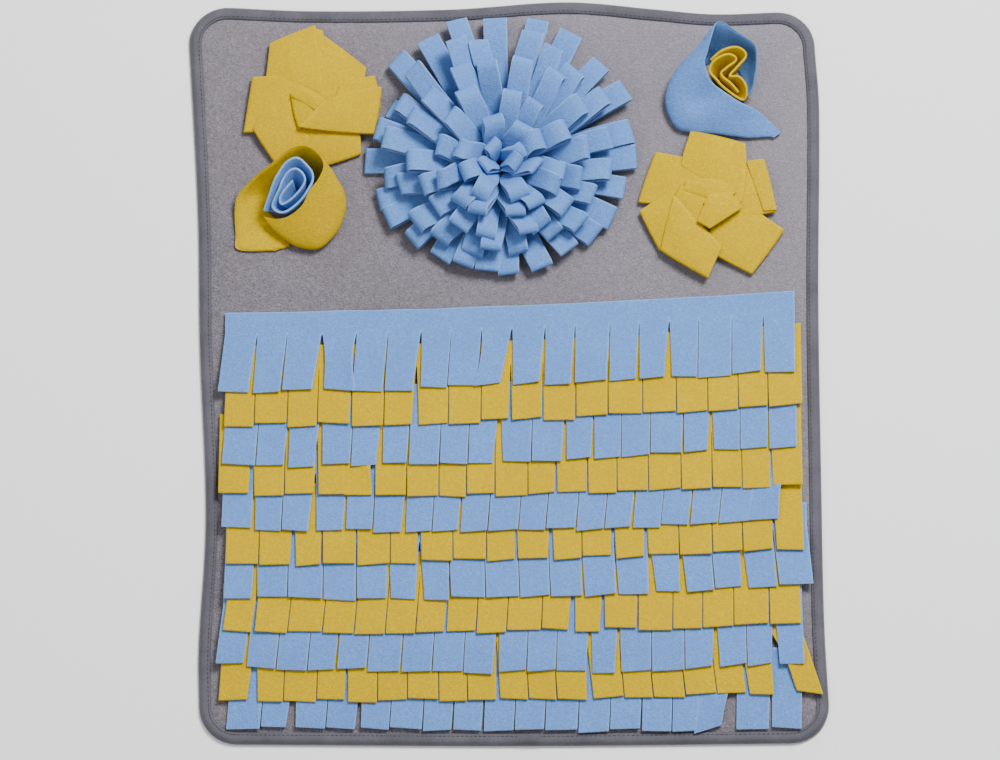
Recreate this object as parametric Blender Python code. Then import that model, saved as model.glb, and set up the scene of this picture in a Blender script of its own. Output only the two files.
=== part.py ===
"""Snuffle mat: a grey plush panel with a bound edge carries eleven slit fleece fringes, a looped
pom-pom, two folded rosettes and two cupped buds. It lies flat, +Y towards the pom-pom's end.
Sizes are in millimetres, and MM turns them into metres where a mesh is made."""

import math
import random

import bmesh
import bpy

for old in list(bpy.data.objects):
    bpy.data.objects.remove(old, do_unlink=True)

MM = 0.001
PIECE_GAP = 0.3  # between pieces that lie on each other
FLEECE = 2.0  # thickness of the fringe's fleece
LOOP_FLEECE = 1.8  # thickness of the pom-pom's fleece, pulled a little thinner

PANEL_TOP = 4.0
LYING = PANEL_TOP + PIECE_GAP  # underside of whatever lies on the panel


# ---------------------------------------------------------------- helpers
def linear(hex_code):
    """sRGB hex to the linear RGBA that a shader takes."""
    parts = [int(hex_code[i : i + 2], 16) / 255 for i in (0, 2, 4)]
    return [c / 12.92 if c <= 0.04045 else ((c + 0.055) / 1.055) ** 2.4 for c in parts] + [1.0]


def cloth(name, hex_code, roughness):
    material = bpy.data.materials.new(name)
    material.use_nodes = True
    shader = material.node_tree.nodes["Principled BSDF"]
    shader.inputs["Base Color"].default_value = linear(hex_code)
    shader.inputs["Roughness"].default_value = roughness
    shader.inputs["Metallic"].default_value = 0.0
    material.diffuse_color = linear(hex_code)
    return material


GREY_PLUSH = cloth("grey_plush", "958f97", 0.95)
DARK_BINDING = cloth("dark_binding", "64636f", 0.7)
BLUE_FLEECE = cloth("blue_fleece", "8eaad0", 0.92)
YELLOW_FLEECE = cloth("yellow_fleece", "d6be50", 0.92)


def place(name, bm, material, smooth_below=35):
    """Makes the bmesh, in millimetres, an object in metres."""
    bmesh.ops.scale(bm, vec=(MM, MM, MM), verts=bm.verts)
    mesh = bpy.data.meshes.new(name)
    bm.to_mesh(mesh)
    bm.free()
    mesh.materials.append(material)
    mesh.shade_smooth()
    mesh.set_sharp_from_angle(angle=math.radians(smooth_below))
    obj = bpy.data.objects.new(name, mesh)
    bpy.context.scene.collection.objects.link(obj)
    return obj


def thicken(obj, thickness, offset, even=True):
    """Gives a sheet its thickness: offset 1 adds it on the side that the faces look to."""
    modifier = obj.modifiers.new("cloth_thickness", "SOLIDIFY")
    modifier.thickness = thickness * MM
    modifier.offset = offset
    modifier.use_even_offset = even


def skin(bm, rings, closed_around):
    """Quads between each ring of points and the next. All rings have as many points."""
    rows = [[bm.verts.new(point) for point in ring] for ring in rings]
    count = len(rows[0])
    for row, following in zip(rows, rows[1:]):
        for k in range(count if closed_around else count - 1):
            m = (k + 1) % count
            bm.faces.new((row[k], row[m], following[m], following[k]))
    return rows


def along(table, s):
    """Reads a short table of (station, value) pairs with a smooth curve through them."""
    stations = [row[0] for row in table]
    values = [row[1] for row in table]
    k = max(i for i in range(len(table) - 1) if i == 0 or stations[i] <= s)
    slopes = []
    for i in (k, k + 1):
        low, high = max(i - 1, 0), min(i + 1, len(table) - 1)
        slopes.append((values[high] - values[low]) / (stations[high] - stations[low]))
    span = stations[k + 1] - stations[k]
    u = (s - stations[k]) / span
    return (
        (2 * u**3 - 3 * u**2 + 1) * values[k]
        + (u**3 - 2 * u**2 + u) * span * slopes[0]
        + (3 * u**2 - 2 * u**3) * values[k + 1]
        + (u**3 - u**2) * span * slopes[1]
    )


# ---------------------------------------------------------------- outline of the mat
HALF_WIDTH = 248.0
HALF_LENGTH = 300.0
CORNER = 30.0
CORNER_STEPS = 4
SIDE_STEPS = 9
END_STEPS = 8
# How far each edge bows outwards, by its place along the straight stretch from -1 to 1.
BOW_LEFT = ((-1, -5.5), (-0.84, -4.8), (-0.44, -10.0), (0.08, -4.6), (0.48, -2.6), (1, 5.0))
BOW_RIGHT = ((-1, 5.0), (-0.75, 1.6), (-0.37, 0.0), (0.23, -1.6), (0.81, -0.2), (1, -3.5))
BOW_TOP = ((-1, -3.7), (-0.7, -6.5), (-0.2, -5.1), (0.22, 0.8), (0.55, -5.1), (0.76, -9.0), (1, -7.5))
BOW_BOTTOM = ((-1, -0.4), (0.05, 0.8), (1, -1.3))


def edge_ring(inset, height):
    """The mat's outline, anticlockwise from the left end of the lower edge, moved in by inset."""
    flat_x, flat_y = HALF_WIDTH - CORNER, HALF_LENGTH - CORNER
    reach = CORNER - inset
    points = []
    sides = (  # along x, along y, outwards x, outwards y, bow, steps, bow of the side that follows
        (1, 0, 0, -1, BOW_BOTTOM, END_STEPS, BOW_RIGHT, -1),
        (0, 1, 1, 0, BOW_RIGHT, SIDE_STEPS, BOW_TOP, 1),
        (-1, 0, 0, 1, BOW_TOP, END_STEPS, BOW_LEFT, 1),
        (0, -1, -1, 0, BOW_LEFT, SIDE_STEPS, BOW_BOTTOM, -1),
    )
    for ax, ay, ox, oy, bow, steps, next_bow, next_station in sides:
        for k in range(steps):
            u = -1 + 2 * k / steps
            station = u * (ax + ay)
            out = reach + along(bow, station)
            points.append((
                ax * u * flat_x + ox * (flat_x + out),
                ay * u * flat_y + oy * (flat_y + out),
                height,
            ))
        end_out = along(bow, ax + ay)
        next_out = along(next_bow, next_station)
        for k in range(CORNER_STEPS):
            turn = math.pi / 2 * k / CORNER_STEPS
            side_part, next_part = math.cos(turn) * reach, math.sin(turn) * reach
            points.append((
                ax * (flat_x + next_part + next_out) + ox * (flat_x + side_part + end_out),
                ay * (flat_y + next_part + next_out) + oy * (flat_y + side_part + end_out),
                height,
            ))
    return points


# ---------------------------------------------------------------- mat panel
def build_panel():
    """Short-pile plush, pressed thin where the binding holds it."""
    sections = (  # inset, height
        (12.0, 0.0),
        (10.2, 1.4),
        (2.8, 1.4),
        (2.8, 2.6),
        (10.2, 2.6),
        (12.0, PANEL_TOP),
    )
    bm = bmesh.new()
    rows = skin(bm, [edge_ring(*section) for section in sections], True)
    bm.faces.new(rows[0])
    bm.faces.new(rows[-1])
    bmesh.ops.recalc_face_normals(bm, faces=bm.faces)
    return place("mat_panel", bm, GREY_PLUSH)


# ---------------------------------------------------------------- edge binding
BINDING_WIDTH = 9.5
BINDING_HEIGHT = 5.0


def build_binding():
    """A strip folded round the panel's edge, puffed at the fold and pressed at its stitches."""
    sections = (  # inset, height, round the C from its lower lip
        (BINDING_WIDTH, 0.0),
        (1.6, 0.0),
        (0.0, 2.4),
        (1.6, 4.6),
        (4.5, BINDING_HEIGHT),
        (BINDING_WIDTH, 3.9),
        (BINDING_WIDTH, 3.0),
        (2.3, 3.0),
        (2.3, 1.0),
        (BINDING_WIDTH, 1.0),
    )
    bm = bmesh.new()
    rings = [edge_ring(*section) for section in sections]
    rows = skin(bm, rings, True)
    first, last = rows[0], rows[-1]
    for k in range(len(first)):
        m = (k + 1) % len(first)
        bm.faces.new((last[k], last[m], first[m], first[k]))
    bmesh.ops.recalc_face_normals(bm, faces=bm.faces)
    return place("edge_binding", bm, DARK_BINDING)


# ---------------------------------------------------------------- fringe
STRIP_LENGTH = 66.0  # from the sewn edge to the tabs' ends
HEADER = 18.0  # uncut part under the stitches
SLIT = 0.7  # a closed slit's width at the tabs' ends
LAYER = FLEECE + PIECE_GAP
FRINGE_BASE = LYING + 0.6
HALF_ROW = 225.0
# Ends of the tabs (left, middle, right), row's two ends, tabs, lean of first and last tab in degrees
# (positive to the right), and the slits that stand open with their widths.
FRINGE_ROWS = (
    (-19.0, -13.3, -1.2, -223.5, 227.4, 18, -6.5, 0, {1: 3.4, 3: 6, 6: 6, 9: 6.5, 10: 3.8, 14: 5.7}),
    (-44.9, -41.6, -27.9, -222.2, 232.2, 18, -2, 1, {4: 1.5, 6: 5.5, 9: 2.4}),
    (-78.8, -74.4, -63.1, -222.2, 228.4, 19, -4, 0, {2: 3.4, 3: 6.5, 5: 5, 9: 8, 11: 3.8, 16: 5}),
    (-101.1, -101.5, -93.8, -227.4, 232.2, 19, -1, 1, {1: 4.5, 3: 3.5, 11: 2, 18: 2}),
    (-128.2, -129.8, -120.9, -223.9, 221.9, 19, -2, -7, {1: 3, 3: 6.5, 6: 3.4, 14: 2}),
    (-157.3, -153.7, -145.2, -221.3, 232.2, 18, -1, 2, {2: 4.5, 6: 4, 10: 4.5, 12: 4, 17: 3}),
    (-184.0, -184.0, -172.7, -221.9, 236.0, 18, -2, 6, {1: 4.5, 6: 7, 13: 6, 14: 5.5, 16: 5.5}),
    (-211.9, -211.1, -205.4, -218.3, 230.3, 18, -7, 1, {1: 2.5, 11: 5.5, 12: 4}),
    (-237.0, -243.8, -235.7, -223.9, 232.0, 19, -7, 2, {4: 2, 9: 5, 12: 5, 13: 5, 16: 6, 18: 6.5}),
    (-264.9, -264.9, -258.4, -223.9, 232.0, 19, -4, 9, {1: 8, 4: 2.5, 9: 3, 12: 5, 18: 9}),
    (-286.7, -289.2, -288.6, -217.1, 232.0, 18, -5, -1, {2: 7.5, 4: 4.5, 8: 2, 15: 9, 17: 2.5}),
)
# Sewn edge of the first row and the rows' pitch, at the left, middle and right
FIRST_EDGE = (47.6, 52.6, 65.8)
PITCH = (26.8, 27.7, 28.8)


def across(values, x):
    """A curve through the values at the left, middle and right of the mat."""
    left, middle, right = values
    u = x / HALF_ROW
    return middle + (right - left) / 2 * u + ((right + left) / 2 - middle) * u * u


def fringe_height(row, x, y):
    """Underside of a row: one layer up for each row that it passes over, flat past the last."""
    passed = 1 + (across(FIRST_EDGE, x) - y) / across(PITCH, x)
    return FRINGE_BASE + LAYER * (min(passed, len(FRINGE_ROWS)) - row)


def slit_places(row, left, right, tabs):
    """Where one row's slits start: hand-cut tabs differ by a tenth or so in width."""
    cutter = random.Random(100 + row)
    widths = [1 + cutter.uniform(-0.1, 0.1) for _ in range(tabs)]
    scale = (right - left) / sum(widths)
    places = [left]
    for width in widths:
        places.append(places[-1] + width * scale)
    return places


def build_fringe(row, numbers, material):
    end_left, end_middle, end_right, left, right, tabs, lean_first, lean_last, open_slits = numbers
    ends = (end_left, end_middle, end_right)
    places = slit_places(row, left, right, tabs)
    last_edge = len(FRINGE_ROWS) - 1
    bm = bmesh.new()

    def point(x, y):
        return bm.verts.new((x, y, fringe_height(row, x, y)))

    edge = [point(x, across(ends, x) + STRIP_LENGTH) for x in places]
    root = [point(x, across(ends, x) + STRIP_LENGTH - HEADER) for x in places]
    tab_length = STRIP_LENGTH - HEADER
    for k in range(tabs):
        bm.faces.new((root[k], root[k + 1], edge[k + 1], edge[k]))
        sides = []
        for slit, towards in ((k, 1), (k + 1, -1)):
            lean = lean_first + (lean_last - lean_first) * slit / tabs
            half_slit = open_slits.get(slit, SLIT) / 2 if 0 < slit < tabs else 0
            x_end = places[slit] + math.tan(math.radians(lean)) * tab_length + towards * half_slit
            sides.append((root[slit], places[slit], x_end))
        # The tabs of the rows over the last one bend where it starts, and lie level from there.
        x_mid = (places[k] + places[k + 1]) / 2
        bend = across(FIRST_EDGE, x_mid) - last_edge * across(PITCH, x_mid)
        y_root = across(ends, x_mid) + tab_length
        share = (y_root - bend) / tab_length
        above = [root[k], root[k + 1]]
        if 0.05 < share < 0.95:
            bent = []
            for _, x_root, x_end in sides:
                x = x_root + (x_end - x_root) * share
                y = across(ends, x_root) + tab_length * (1 - share)
                bent.append(point(x, y))
            bm.faces.new((bent[0], bent[1], above[1], above[0]))
            above = bent
        tips = [point(x_end, across(ends, x_root)) for _, x_root, x_end in sides]
        bm.faces.new((tips[0], tips[1], above[1], above[0]))
    obj = place("fringe_row_%02d" % row, bm, material)
    thicken(obj, FLEECE, 1)
    return obj


# ---------------------------------------------------------------- pom-pom
POM_X, POM_Y = -6.0, 182.0
BEND = 6.0  # radius where a loop leaves its upright band
# Turns of the wound strip: radius, loops, top of the band, slope in degrees, loop length, width,
# opening at the fold, first loop's direction in degrees.
POM_TURNS = (
    (36.0, 25, 6.5, -2, 66, 22, 2.0, 4),
    (30.5, 20, 12.5, 12, 54, 21, 4.0, 12),
    (25.0, 16, 18.5, 30, 44, 19, 6.0, 6),
    (19.0, 11, 25.5, 50, 32, 17, 10.5, 0),
    (11.5, 7, 31.0, 72, 21, 15, 11.0, 20),
)
POM_SQUASH = 0.96  # the pom-pom is a little narrower along the mat
SHORT_FROM, SHORT_TO, SHORT_LOOP = 146, 178, 48  # outer loops that stop at the left rosette


def build_pom_turn(number, numbers):
    """A strip folded double and slit across its fold: two upright bands joined by loops."""
    radius, loops, band_top, slope, length, width, opening, first = numbers
    cutter = random.Random(200 + number)
    half_step = math.pi / loops
    bm = bmesh.new()
    inner_half = 0.5
    feet = []
    for k in range(loops):
        boundary = math.radians(first) + (2 * k - 1) * half_step
        column = []
        for rho, z in (
            (radius + inner_half, LYING + PIECE_GAP),
            (radius + inner_half, band_top),
            (radius - inner_half, band_top),
            (radius - inner_half, LYING + PIECE_GAP),
        ):
            reach = rho / math.cos(half_step)
            x = POM_X + reach * math.cos(boundary)
            y = POM_Y + reach * math.sin(boundary) * POM_SQUASH
            column.append(bm.verts.new((x, y, z)))
        feet.append(column)
    for k in range(loops):
        here, there = feet[k], feet[(k + 1) % loops]
        middle = math.radians(first) + 2 * k * half_step
        turned = math.degrees(middle) % 360
        reach = SHORT_LOOP if number == 1 and SHORT_FROM < turned < SHORT_TO else length
        reach += cutter.uniform(-2, 1.5)
        pitch = math.radians(slope + cutter.uniform(-2.5, 2.5))
        bend_rho = radius + BEND * (1 - math.sin(pitch))
        bend_z = band_top + BEND * math.cos(pitch)
        stations = ((0, 0.7), (reach, opening / 2))
        outer, inner = [], []
        for run, half in stations:
            rho, z = bend_rho + run * math.cos(pitch), bend_z + run * math.sin(pitch)
            outer.append((rho + half * math.sin(pitch), z - half * math.cos(pitch)))
            inner.append((rho - half * math.sin(pitch), z + half * math.cos(pitch)))
        path = outer + inner[::-1]
        rows = [(here[1], there[1])]
        for rho, z in path:
            half_width = min(width / 2, rho * math.tan(half_step) - 0.5)
            pair = []
            for side in (-half_width, half_width):
                x = POM_X + rho * math.cos(middle) - side * math.sin(middle)
                y = POM_Y + (rho * math.sin(middle) + side * math.cos(middle)) * POM_SQUASH
                pair.append(bm.verts.new((x, y, z)))
            rows.append(tuple(pair))
        rows.append((here[2], there[2]))
        bm.faces.new((here[0], there[0], there[1], here[1]))
        bm.faces.new((here[2], there[2], there[3], here[3]))
        for row, following in zip(rows, rows[1:]):
            bm.faces.new((row[0], row[1], following[1], following[0]))
    obj = place("pom_turn_%d" % number, bm, BLUE_FLEECE)
    thicken(obj, LOOP_FLEECE, 1)
    return obj


# ---------------------------------------------------------------- rosettes
PETAL_LAYER = 1.5  # the doubled strip's two layers and the space between them
PETAL_SPACE = 0.5
PETAL_FULL = 2 * PETAL_LAYER + PETAL_SPACE
PETAL_STEP = PETAL_FULL + PETAL_SPACE
# Petals, anticlockwise: direction and reach of the two outer corners, and how many layers up each
# side lies.
ROSETTES = {
    "rosette_left": (-154.6, 214.7, (
        (36, 52, 81, 60, 0, 0),
        (88, 65, 128, 60, 1, 0),
        (154, 53, 203, 60, 1, 0),
        (210, 51, 259, 52, 1, 0),
        (284, 51, 322, 50, 1, 0),
        (338, 54, 383, 58, 1.6, 1.6),
    )),
    "rosette_right": (164.1, 133.0, (
        (65, 56, 106, 63, 1, 1),
        (139, 62, 176, 60, 0, 0),
        (184, 59, 217, 55, 1, 0),
        (222, 57, 264, 60, 1.4, 1.4),
        (296, 62, 340, 57, 0, 0),
        (355, 49, 403, 53, 1, 0),
    )),
}
HUB_RADIUS = 19.0
HUB_CROWN = 12.0  # radius of the wound middle's top
HUB_FOOT = LYING + PIECE_GAP
HUB_SHOULDER = HUB_FOOT + 11.0
HUB_TOP = HUB_FOOT + 13.0


def build_rosette(name, x, y, petals):
    """A wound middle with doubled flaps round it: lower layer, fold at the outer edge, upper layer."""
    bm = bmesh.new()

    def point(turn, radius, z):
        side = math.radians(turn)
        return bm.verts.new((x + radius * math.cos(side), y + radius * math.sin(side), z))

    columns = []  # one on each side of each petal
    for turn_a, reach_a, turn_b, reach_b, level_a, level_b in petals:
        sides = []
        for turn, reach, level in ((turn_a, reach_a, level_a), (turn_b, reach_b, level_b)):
            foot = HUB_FOOT + PIECE_GAP + level * PETAL_STEP
            heights = (foot, foot + PETAL_LAYER, foot + PETAL_LAYER + PETAL_SPACE, foot + PETAL_FULL)
            column = [point(turn, HUB_RADIUS, z) for z in (HUB_FOOT, *heights, HUB_SHOULDER)]
            column.append(point(turn, HUB_CROWN, HUB_TOP))
            reaches = (reach, reach - PETAL_LAYER, reach - PETAL_LAYER, reach)
            outer = [point(turn, out, z) for out, z in zip(reaches, heights)]
            sides.append((column, outer))
            columns.append(column)
        (hub_a, out_a), (hub_b, out_b) = sides
        for low in (0, 2, 4):  # the hub's wall under, between and over the layers
            bm.faces.new((hub_a[low], hub_b[low], hub_b[low + 1], hub_a[low + 1]))
        profile_a = [hub_a[1], out_a[0], out_a[3], hub_a[4], hub_a[3], out_a[2], out_a[1], hub_a[2]]
        profile_b = [hub_b[1], out_b[0], out_b[3], hub_b[4], hub_b[3], out_b[2], out_b[1], hub_b[2]]
        for k in (0, 1, 2, 4, 5, 6):
            bm.faces.new((profile_a[k], profile_a[k + 1], profile_b[k + 1], profile_b[k]))
        bm.faces.new(profile_a)
        bm.faces.new(profile_b)
    for k, column in enumerate(columns):
        following = columns[(k + 1) % len(columns)]
        if k % 2 == 1:  # the hub's wall from one petal to the next
            bm.faces.new(column[:6] + following[5::-1])
        bm.faces.new((column[5], following[5], following[6], column[6]))
    bm.faces.new([column[6] for column in columns])
    bm.faces.new([column[0] for column in columns])
    bmesh.ops.recalc_face_normals(bm, faces=bm.faces)
    return place(name, bm, YELLOW_FLEECE)


# ---------------------------------------------------------------- buds
WRAP_THICKNESS = 2.0
# The wrap's columns from its free edge round to its other end: rim x, y, z, then side x, y, z.
LEFT_WRAP = (
    (-192.6, 122.8, 15, -183.0, 111.5, 11),
    (-176.8, 120.3, 21, -168.0, 101.0, 11),
    (-163.3, 127.9, 28, -149.9, 100.5, 13),
    (-156.6, 139.5, 34, -135.2, 115.5, 15),
    (-149.5, 149.0, 38, -128.7, 136.9, 17),
    (-145.5, 158.5, 40, -136.0, 152.0, 20),
    (-149.1, 167.0, 42, -146.0, 161.0, 21),
    (-160.2, 174.1, 43, -160.0, 164.5, 20),
    (-173.6, 171.4, 40, -173.0, 159.5, 18),
    (-184.7, 162.6, 36, -185.0, 152.0, 16),
    (-198.2, 153.8, 27, -197.0, 145.0, 11),
    (-214.5, 138.6, 12, -208.0, 133.5, 6.5),
    (-215.5, 110.5, 5.2, -205.5, 116.0, 4.9),
    (-213.9, 97.7, 4.9, -198.0, 107.0, 4.8),
    (-188.0, 97.0, 4.9, -186.0, 99.8, 4.8),
)
LEFT_WRAP_FOOT = (-160.0, 126.0)
RIGHT_WRAP = (
    (188.0, 219.5, 13, 184.5, 219.0, 8),
    (195.4, 227.4, 20, 191.0, 226.0, 12),
    (197.4, 241.9, 28, 194.0, 239.0, 16),
    (197.0, 256.8, 34, 194.0, 250.0, 18),
    (190.2, 262.4, 38, 187.0, 256.0, 20),
    (176.8, 270.0, 44, 174.0, 259.5, 22),
    (166.0, 273.7, 46, 158.0, 262.0, 24),
    (161.5, 260.0, 43, 146.5, 252.0, 21),
    (158.5, 251.1, 39, 134.5, 241.7, 18),
    (156.5, 243.0, 35, 126.5, 221.2, 15),
    (162.0, 229.0, 29, 134.1, 200.0, 12),
    (178.9, 217.5, 24, 147.0, 194.0, 10),
    (192.0, 211.5, 18, 168.0, 192.5, 9),
    (202.1, 206.5, 13, 190.0, 189.8, 8),
    (217.1, 193.0, 7.4, 211.6, 189.0, 7.1),
)
RIGHT_WRAP_FOOT = (164.0, 222.0)
FOOT_SHARE = 0.7  # the sewn foot's size against the side's
FLAT_BELOW = 7.4  # a side no higher than this lies on the panel and has no foot under it


def build_wrap(name, columns, foot, material):
    """A square wrapped round to a leaning cup, with its last corner left lying on the panel."""
    rows = ([], [], [])
    for rim_x, rim_y, rim_z, side_x, side_y, side_z in columns:
        foot_x = foot[0] + (side_x - foot[0]) * FOOT_SHARE
        foot_y = foot[1] + (side_y - foot[1]) * FOOT_SHARE
        lying = side_z < FLAT_BELOW
        rows[0].append((side_x, side_y, side_z) if lying else (foot_x, foot_y, LYING + PIECE_GAP))
        rows[1].append((side_x, side_y, side_z))
        rows[2].append((rim_x, rim_y, rim_z))
    bm = bmesh.new()
    skin(bm, rows, False)
    bmesh.ops.remove_doubles(bm, verts=bm.verts, dist=0.01)
    obj = place(name, bm, material)
    thicken(obj, WRAP_THICKNESS, -1, even=False)
    return obj


ROLL_STEPS = 12  # a turn's sides
ROLL_PITCH = 4.4
# Rolls: middle x, y and height, long and short radius and direction of the long one, at foot and top.
ROLLS = {
    "bud_left_roll": (
        (-160.0, 129.0, 6.0, 12.0, 11.0, 40),
        (-171.5, 146.5, 37.0, 20.0, 12.0, 50),
        2.0,
    ),
    "bud_right_roll": (
        (169.0, 230.0, 6.0, 11.0, 9.0, 80),
        (179.5, 242.0, 34.0, 16.0, 11.5, 80),
        1.7,
    ),
}


def build_roll(name, foot, top, turns, material):
    """A strip rolled up loosely and stood on its cut edge."""
    steps = round(ROLL_STEPS * turns)
    rows = []
    for x, y, z, long_radius, short_radius, direction in (foot, top):
        ring = []
        for k in range(steps + 1):
            turn = 2 * math.pi * k / ROLL_STEPS
            drawn_in = ROLL_PITCH * k / ROLL_STEPS
            a = (long_radius - drawn_in) * math.cos(turn)
            b = (short_radius - drawn_in * 0.75) * math.sin(turn)
            side = math.radians(direction)
            ring.append((
                x + a * math.cos(side) - b * math.sin(side),
                y + a * math.sin(side) + b * math.cos(side),
                z,
            ))
        rows.append(ring)
    bm = bmesh.new()
    skin(bm, rows, False)
    obj = place(name, bm, material)
    thicken(obj, WRAP_THICKNESS, 0)
    return obj


# ---------------------------------------------------------------- the mat
build_panel()
build_binding()
for index, row_numbers in enumerate(FRINGE_ROWS):
    build_fringe(index + 1, row_numbers, BLUE_FLEECE if index % 2 == 0 else YELLOW_FLEECE)
for index, turn_numbers in enumerate(POM_TURNS):
    build_pom_turn(index + 1, turn_numbers)
for rosette, (middle_x, middle_y, petal_rows) in ROSETTES.items():
    build_rosette(rosette, middle_x, middle_y, petal_rows)
build_wrap("bud_left_wrap", LEFT_WRAP, LEFT_WRAP_FOOT, YELLOW_FLEECE)
build_wrap("bud_right_wrap", RIGHT_WRAP, RIGHT_WRAP_FOOT, BLUE_FLEECE)
build_roll("bud_left_roll", *ROLLS["bud_left_roll"], BLUE_FLEECE)
build_roll("bud_right_roll", *ROLLS["bud_right_roll"], YELLOW_FLEECE)
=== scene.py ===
import math
import random

import bmesh
import bpy
from mathutils import Matrix, Vector, noise


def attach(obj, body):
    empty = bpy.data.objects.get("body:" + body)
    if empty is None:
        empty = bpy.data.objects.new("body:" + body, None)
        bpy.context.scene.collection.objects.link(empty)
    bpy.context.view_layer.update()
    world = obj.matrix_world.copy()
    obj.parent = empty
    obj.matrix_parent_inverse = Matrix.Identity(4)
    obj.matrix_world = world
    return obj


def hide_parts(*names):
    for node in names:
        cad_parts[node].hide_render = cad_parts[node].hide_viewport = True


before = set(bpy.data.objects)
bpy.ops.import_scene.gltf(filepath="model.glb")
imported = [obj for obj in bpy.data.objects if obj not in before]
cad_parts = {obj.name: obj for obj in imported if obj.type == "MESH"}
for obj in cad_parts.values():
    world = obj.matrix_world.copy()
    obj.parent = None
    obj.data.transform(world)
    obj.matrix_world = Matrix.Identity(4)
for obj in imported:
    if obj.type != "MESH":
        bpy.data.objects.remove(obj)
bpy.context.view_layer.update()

# ------------------------------------------------------------------ the plush panel
# One rectangle of short-pile grey plush with round corners, the base of the mat. Its edge is
# pressed thin inside the binding. It lies in low ripples, and its pile parts in small tufts.
MM = 0.001
HALF_WIDTH = 248.0
HALF_LENGTH = 300.0
CORNER = 30.0
PANEL_TOP = 3.9
PRESSED_TOP, PRESSED_FOOT = 2.5, 1.5  # inside the binding
PANEL_CELLS = (124, 150)
PANEL_EDGE = 2.9  # how far in from the outline the panel's own edge is
# How far each edge bows outwards, by its place along the straight stretch from -1 to 1
BOW_LEFT = ((-1, -5.5), (-0.84, -4.8), (-0.44, -10.0), (0.08, -4.6), (0.48, -2.6), (1, 5.0))
BOW_RIGHT = ((-1, 5.0), (-0.75, 1.6), (-0.37, 0.0), (0.23, -1.6), (0.81, -0.2), (1, -3.5))
BOW_TOP = ((-1, -3.7), (-0.7, -6.5), (-0.2, -5.1), (0.22, 0.8), (0.55, -5.1), (0.76, -9.0), (1, -7.5))
BOW_BOTTOM = ((-1, -0.4), (0.05, 0.8), (1, -1.3))


def linear(hex_code):
    """sRGB hex to the linear RGBA that a shader takes."""
    parts = [int(hex_code[i : i + 2], 16) / 255 for i in (0, 2, 4)]
    return [c / 12.92 if c <= 0.04045 else ((c + 0.055) / 1.055) ** 2.4 for c in parts] + [1.0]


def node(tree, kind, settings=(), inputs=()):
    """Adds a node: its settings by name, and its inputs, each a value or another node's output."""
    made = tree.nodes.new("ShaderNode" + kind)
    for key, value in dict(settings).items():
        setattr(made, key, value)
    for key, value in dict(inputs).items():
        if isinstance(value, bpy.types.NodeSocket):
            tree.links.new(value, made.inputs[key])
        else:
            made.inputs[key].default_value = value
    return made


def contrast(tree, value, low, high, least=0.0, most=1.0):
    """Spreads a value between low and high over least to most."""
    return node(tree, "MapRange", inputs={
        "Value": value, "From Min": low, "From Max": high, "To Min": least, "To Max": most}).outputs[0]


def blend(tree, share, first, second, how="MIX"):
    """Mixes two colours, each a hex code or another node's output."""
    first, second = (linear(c) if isinstance(c, str) else c for c in (first, second))
    settings = {"data_type": "RGBA", "blend_type": how}
    return node(tree, "Mix", settings, {0: share, 6: first, 7: second}).outputs[2]


def piece(name, bm, material, cad_node):
    """Makes the bmesh, in millimetres, a piece of the mat that stands for a node of the frame."""
    bmesh.ops.scale(bm, vec=(MM, MM, MM), verts=bm.verts)
    mesh = bpy.data.meshes.new(name)
    bm.to_mesh(mesh)
    bm.free()
    mesh.materials.append(material)
    mesh.shade_smooth()
    obj = bpy.data.objects.new(name, mesh)
    bpy.context.scene.collection.objects.link(obj)
    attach(obj, "root")
    if cad_node:
        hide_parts(cad_node)
    return obj


def smooth(obj, levels=1):
    """Rounds a piece off."""
    modifier = obj.modifiers.new("soft", "SUBSURF")
    modifier.levels = modifier.render_levels = levels


def along(table, s):
    """Reads a short table of (station, value) pairs with a smooth curve through them."""
    stations = [row[0] for row in table]
    values = [row[1] for row in table]
    s = min(max(s, stations[0]), stations[-1])
    k = max(i for i in range(len(table) - 1) if i == 0 or stations[i] <= s)
    slopes = []
    for i in (k, k + 1):
        low, high = max(i - 1, 0), min(i + 1, len(table) - 1)
        slopes.append((values[high] - values[low]) / (stations[high] - stations[low]))
    span = stations[k + 1] - stations[k]
    u = (s - stations[k]) / span
    return (
        (2 * u**3 - 3 * u**2 + 1) * values[k]
        + (u**3 - 2 * u**2 + u) * span * slopes[0]
        + (3 * u**2 - 2 * u**3) * values[k + 1]
        + (u**3 - u**2) * span * slopes[1]
    )


def bowed(x, y):
    """Moves a point of the straight-sided outline to where the real, uneven edge lies."""
    flat_x, flat_y = HALF_WIDTH - CORNER, HALF_LENGTH - CORNER
    side = along(BOW_RIGHT if x > 0 else BOW_LEFT, y / flat_y) * x / HALF_WIDTH
    end = along(BOW_TOP if y > 0 else BOW_BOTTOM, x / flat_x) * y / HALF_LENGTH
    return x + side, y + end


def ease(low, high, value):
    """0 below low, 1 above high, with a smooth step between them."""
    u = min(max((value - low) / (high - low), 0), 1)
    return u * u * (3 - 2 * u)


def wave(x, y, size, seed):
    """Smooth unevenness between about -1 and 1, in swells of that size."""
    return 1.6 * noise.noise(Vector((x / size, y / size, seed)))


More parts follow.
